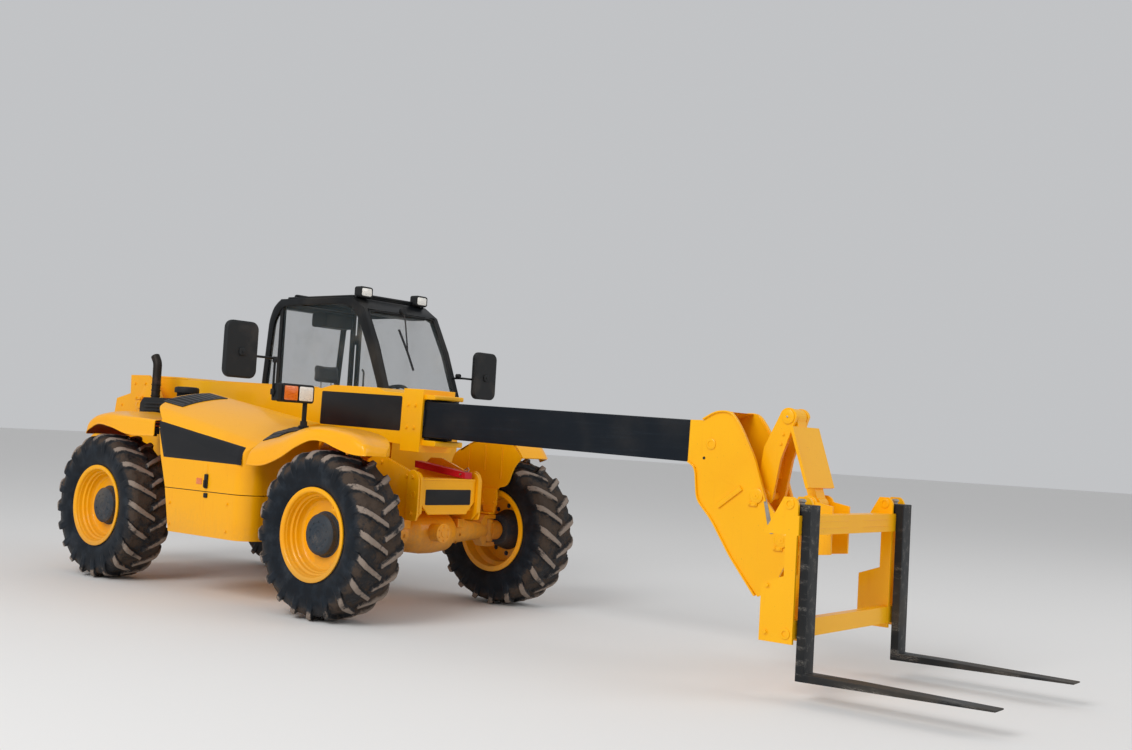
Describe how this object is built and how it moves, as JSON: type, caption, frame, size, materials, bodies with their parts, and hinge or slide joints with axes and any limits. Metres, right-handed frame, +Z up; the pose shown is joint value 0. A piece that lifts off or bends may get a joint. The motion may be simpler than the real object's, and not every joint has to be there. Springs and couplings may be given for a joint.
{
  "type": "telehandler",
  "caption": "Four wheel steer telescopic handler with a side cab, an engine pod on the right, an extended boom with goose-neck head and a pallet fork carriage.",
  "frame": {"origin": "on the ground under the middle of the machine's overall box, centre line of the boom", "axes": "+X forward along the boom, +Y to the driver's left, +Z up"},
  "size_m": [8.5602, 2.94, 2.575],
  "materials": {
    "yellow": "gloss",
    "orange": "gloss",
    "black": "satin",
    "navy": "satin",
    "red": "satin",
    "steel": "worn",
    "tyre": "muddy",
    "glass": "clear",
    "plastic": "matte",
    "fabric": "woven",
    "lamp": "clear and amber"
  },
  "bodies": {
    "chassis": {"chassis_frame": "yellow", "front_panel": "yellow", "counterweight": "yellow", "front_axle": "orange", "rear_axle": "orange", "front_right_wing": "yellow", "rear_wings": "yellow", "lower_panel": "yellow", "engine_block": "black", "rear_cowl": "black", "exhaust": "steel", "cab_frame": "black", "cab_roof": "black", "cab_lower": "yellow", "cab_inside": "plastic", "steering_wheel": "plastic", "seat": "fabric", "cab_glass": "glass", "lamps": "lamp", "lamp_bracket": "black", "mirrors": "black", "tank": "black", "safety_strut": "red"},
    "hood": {"hood": "yellow"},
    "door": {"door": "black", "door_glass": "glass"},
    "boom": {"outer_boom": "yellow"},
    "extension": {"inner_boom": "navy", "boom_head": "yellow"},
    "carriage": {"fork_carriage": "yellow", "forks": "black"},
    "lever": {"tilt_lever": "yellow"},
    "link": {"tilt_link": "yellow"},
    "barrel": {"lift_barrel": "yellow"},
    "rod": {"lift_rod": "steel"},
    "front_left_knuckle": {"knuckle_front_left": "orange", "front_left_wing": "yellow"},
    "front_left_wheel": {"rim_front_left": "yellow", "tyre_front_left": "tyre"},
    "front_right_knuckle": {"knuckle_front_right": "orange"},
    "front_right_wheel": {"rim_front_right": "yellow", "tyre_front_right": "tyre"},
    "rear_left_knuckle": {"knuckle_rear_left": "orange"},
    "rear_left_wheel": {"rim_rear_left": "yellow", "tyre_rear_left": "tyre"},
    "rear_right_knuckle": {"knuckle_rear_right": "orange"},
    "rear_right_wheel": {"rim_rear_right": "yellow", "tyre_rear_right": "tyre"}
  },
  "joints": [
    {"name": "boom_lift", "type": "hinge", "parent": "chassis", "child": "boom", "pos_m": [-3.86015, 0, 1.47], "axis": [0, -1, 0], "range_deg": [0, 67]},
    {"name": "boom_extend", "type": "slide", "parent": "boom", "child": "extension", "axis": [0.9997, 0, -0.0227], "range_m": [-2.2, 0.5]},
    {"name": "carriage_tilt", "type": "hinge", "parent": "extension", "child": "carriage", "pos_m": [2.75985, 0, 0.835], "axis": [0, -1, 0], "range_deg": [-31, 40]},
    {"name": "lever_swing", "type": "hinge", "parent": "extension", "child": "lever", "pos_m": [2.57985, 0, 1.09], "axis": [0, -1, 0], "range_deg": [-21.7, 28]},
    {"name": "link_swing", "type": "hinge", "parent": "lever", "child": "link", "pos_m": [2.71985, 0, 1.585], "axis": [0, -1, 0], "range_deg": [-19.2, 14.9]},
    {"name": "barrel_swing", "type": "hinge", "parent": "chassis", "child": "barrel", "pos_m": [-3.03015, 0, 0.78], "axis": [0, -1, 0], "range_deg": [0, 66.91]},
    {"name": "rod_slide", "type": "slide", "parent": "barrel", "child": "rod", "axis": [0.9508, 0, 0.3099], "range_m": [0, 1.1934]},
    {"name": "steer_front_left", "type": "hinge", "parent": "chassis", "child": "front_left_knuckle", "pos_m": [-0.43015, 0.72, 0.6], "axis": [0, 0, 1], "range_deg": [-35, 35]},
    {"name": "spin_front_left", "type": "hinge", "parent": "front_left_knuckle", "child": "front_left_wheel", "pos_m": [-0.43015, 0.945, 0.6], "axis": [0, 1, 0], "continuous": true},
    {"name": "steer_front_right", "type": "hinge", "parent": "chassis", "child": "front_right_knuckle", "pos_m": [-0.43015, -0.72, 0.6], "axis": [0, 0, 1], "range_deg": [-35, 35]},
    {"name": "spin_front_right", "type": "hinge", "parent": "front_right_knuckle", "child": "front_right_wheel", "pos_m": [-0.43015, -0.945, 0.6], "axis": [0, 1, 0], "continuous": true},
    {"name": "steer_rear_left", "type": "hinge", "parent": "chassis", "child": "rear_left_knuckle", "pos_m": [-3.18015, 0.72, 0.6], "axis": [0, 0, 1], "range_deg": [-35, 35]},
    {"name": "spin_rear_left", "type": "hinge", "parent": "rear_left_knuckle", "child": "rear_left_wheel", "pos_m": [-3.18015, 0.945, 0.6], "axis": [0, 1, 0], "continuous": true},
    {"name": "steer_rear_right", "type": "hinge", "parent": "chassis", "child": "rear_right_knuckle", "pos_m": [-3.18015, -0.72, 0.6], "axis": [0, 0, 1], "range_deg": [-35, 35]},
    {"name": "spin_rear_right", "type": "hinge", "parent": "rear_right_knuckle", "child": "rear_right_wheel", "pos_m": [-3.18015, -0.945, 0.6], "axis": [0, 1, 0], "continuous": true},
    {"name": "door_hinge", "type": "hinge", "parent": "chassis", "child": "door", "pos_m": [-2.58815, 1.121, 1.5], "axis": [0, 0, 1], "range_deg": [0, 80]},
    {"name": "hood_hinge", "type": "hinge", "parent": "chassis", "child": "hood", "pos_m": [-1.84015, -0.434, 1.374], "axis": [-1, 0, 0], "range_deg": [0, 55]}
  ],
  "couplings": [
    {"joint": "lever_swing", "follows": "carriage_tilt", "ratio": 0.7},
    {"joint": "link_swing", "follows": "carriage_tilt", "ratio": -0.48},
    {"joint": "barrel_swing", "follows": "boom_lift", "ratio": 0.9912},
    {"joint": "rod_slide", "follows": "boom_lift", "m_per_rad": 1.0188},
    {"joint": "steer_front_right", "follows": "steer_front_left", "ratio": 1},
    {"joint": "steer_rear_right", "follows": "steer_rear_left", "ratio": 1}
  ]
}
